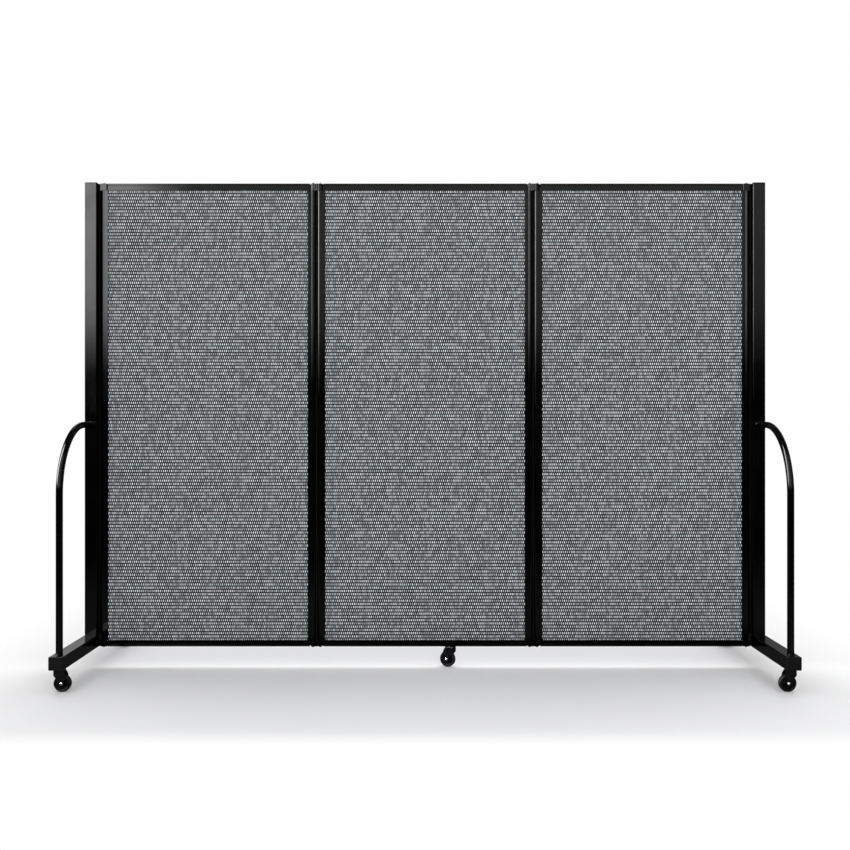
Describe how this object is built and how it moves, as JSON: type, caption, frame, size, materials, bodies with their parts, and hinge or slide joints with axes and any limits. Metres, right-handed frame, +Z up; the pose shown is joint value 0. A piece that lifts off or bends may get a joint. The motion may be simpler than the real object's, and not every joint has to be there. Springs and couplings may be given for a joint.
{
  "type": "folding privacy screen on casters",
  "caption": "Free-standing folding privacy screen: fabric panels in slim black frames, pinned together and to wheeled end frames with arched braces.",
  "frame": {"origin": "on the floor, under the middle of the open screen", "axes": "+X along the open screen to the right as seen from its front, -Y to its front, +Z up"},
  "size_m": [2.591, 0.762, 1.853],
  "materials": {
    "frame": "gloss black coated extrusion",
    "tube": "gloss black coated steel tube",
    "fabric": "grey woven fabric in even rows",
    "cap": "satin black moulding",
    "pin": "blackened steel",
    "fork": "satin black moulding",
    "wheel": "hard black tread",
    "seal": "matt black flexible strip",
    "axle": "bright plated"
  },
  "bodies": {
    "panel_middle": {"panel_middle_stile_left": "frame", "panel_middle_stile_right": "frame", "panel_middle_rail_top": "frame", "panel_middle_rail_bottom": "frame", "panel_middle_fabric_board": "fabric"},
    "hinge_link_left": {"hinge_left_link_top": "frame", "hinge_left_link_bottom": "frame", "hinge_left_pin_inner": "pin", "hinge_left_pin_outer": "pin", "hinge_left_seal": "seal"},
    "panel_left": {"panel_left_stile_left": "frame", "panel_left_stile_right": "frame", "panel_left_rail_top": "frame", "panel_left_rail_bottom": "frame", "panel_left_fabric_board": "fabric"},
    "end_frame_left": {"left_post": "tube", "left_post_cap": "cap", "left_foot": "tube", "left_foot_cap_front": "cap", "left_foot_cap_rear": "cap", "left_arch_front": "tube", "left_arch_rear": "tube", "left_bracket_top": "frame", "left_bracket_bottom": "frame", "left_end_pin": "pin"},
    "hinge_link_right": {"hinge_right_link_top": "frame", "hinge_right_link_bottom": "frame", "hinge_right_pin_inner": "pin", "hinge_right_pin_outer": "pin", "hinge_right_seal": "seal"},
    "panel_right": {"panel_right_stile_left": "frame", "panel_right_stile_right": "frame", "panel_right_rail_top": "frame", "panel_right_rail_bottom": "frame", "panel_right_fabric_board": "fabric"},
    "end_frame_right": {"right_post": "tube", "right_post_cap": "cap", "right_foot": "tube", "right_foot_cap_front": "cap", "right_foot_cap_rear": "cap", "right_arch_front": "tube", "right_arch_rear": "tube", "right_bracket_top": "frame", "right_bracket_bottom": "frame", "right_end_pin": "pin"},
    "caster_left_front": {"caster_left_front_fork": "fork", "caster_left_front_axle": "axle"},
    "wheel_left_front": {"caster_left_front_wheel": "wheel"},
    "caster_left_rear": {"caster_left_rear_fork": "fork", "caster_left_rear_axle": "axle"},
    "wheel_left_rear": {"caster_left_rear_wheel": "wheel"},
    "caster_right_front": {"caster_right_front_fork": "fork", "caster_right_front_axle": "axle"},
    "wheel_right_front": {"caster_right_front_wheel": "wheel"},
    "caster_right_rear": {"caster_right_rear_fork": "fork", "caster_right_rear_axle": "axle"},
    "wheel_right_rear": {"caster_right_rear_wheel": "wheel"},
    "caster_middle": {"caster_middle_fork": "fork", "caster_middle_axle": "axle"},
    "wheel_middle": {"caster_middle_wheel": "wheel"}
  },
  "joints": [
    {"name": "hinge_left_inner", "type": "hinge", "parent": "panel_middle", "child": "hinge_link_left", "pos_m": [-0.4005, 0, 1], "axis": [0, 0, 1], "range_deg": [-90, 90]},
    {"name": "hinge_left_outer", "type": "hinge", "parent": "hinge_link_left", "child": "panel_left", "pos_m": [-0.4285, 0, 1], "axis": [0, 0, 1], "range_deg": [-90, 90]},
    {"name": "end_hinge_left", "type": "hinge", "parent": "panel_left", "child": "end_frame_left", "pos_m": [-1.2295, 0, 1], "axis": [0, 0, -1], "range_deg": [-90, 90]},
    {"name": "hinge_right_inner", "type": "hinge", "parent": "panel_middle", "child": "hinge_link_right", "pos_m": [0.4005, 0, 1], "axis": [0, 0, 1], "range_deg": [-90, 90]},
    {"name": "hinge_right_outer", "type": "hinge", "parent": "hinge_link_right", "child": "panel_right", "pos_m": [0.4285, 0, 1], "axis": [0, 0, 1], "range_deg": [-90, 90]},
    {"name": "end_hinge_right", "type": "hinge", "parent": "panel_right", "child": "end_frame_right", "pos_m": [1.2295, 0, 1], "axis": [0, 0, -1], "range_deg": [-90, 90]},
    {"name": "swivel_left_front", "type": "hinge", "parent": "end_frame_left", "child": "caster_left_front", "pos_m": [-1.2695, -0.348, 0.09], "axis": [0, 0, 1], "continuous": true},
    {"name": "roll_left_front", "type": "hinge", "parent": "caster_left_front", "child": "wheel_left_front", "pos_m": [-1.2575, -0.348, 0.03], "axis": [0, 1, 0], "continuous": true},
    {"name": "swivel_left_rear", "type": "hinge", "parent": "end_frame_left", "child": "caster_left_rear", "pos_m": [-1.2695, 0.348, 0.09], "axis": [0, 0, 1], "continuous": true},
    {"name": "roll_left_rear", "type": "hinge", "parent": "caster_left_rear", "child": "wheel_left_rear", "pos_m": [-1.2575, 0.348, 0.03], "axis": [0, 1, 0], "continuous": true},
    {"name": "swivel_right_front", "type": "hinge", "parent": "end_frame_right", "child": "caster_right_front", "pos_m": [1.2695, -0.348, 0.09], "axis": [0, 0, 1], "continuous": true},
    {"name": "roll_right_front", "type": "hinge", "parent": "caster_right_front", "child": "wheel_right_front", "pos_m": [1.2575, -0.348, 0.03], "axis": [0, 1, 0], "continuous": true},
    {"name": "swivel_right_rear", "type": "hinge", "parent": "end_frame_right", "child": "caster_right_rear", "pos_m": [1.2695, 0.348, 0.09], "axis": [0, 0, 1], "continuous": true},
    {"name": "roll_right_rear", "type": "hinge", "parent": "caster_right_rear", "child": "wheel_right_rear", "pos_m": [1.2575, 0.348, 0.03], "axis": [0, 1, 0], "continuous": true},
    {"name": "swivel_middle", "type": "hinge", "parent": "panel_middle", "child": "caster_middle", "pos_m": [0.098, 0, 0.09], "axis": [0, 0, 1], "continuous": true},
    {"name": "roll_middle", "type": "hinge", "parent": "caster_middle", "child": "wheel_middle", "pos_m": [0.08721, 0.00526, 0.03], "axis": [-0.4384, -0.8988, 0], "continuous": true}
  ]
}
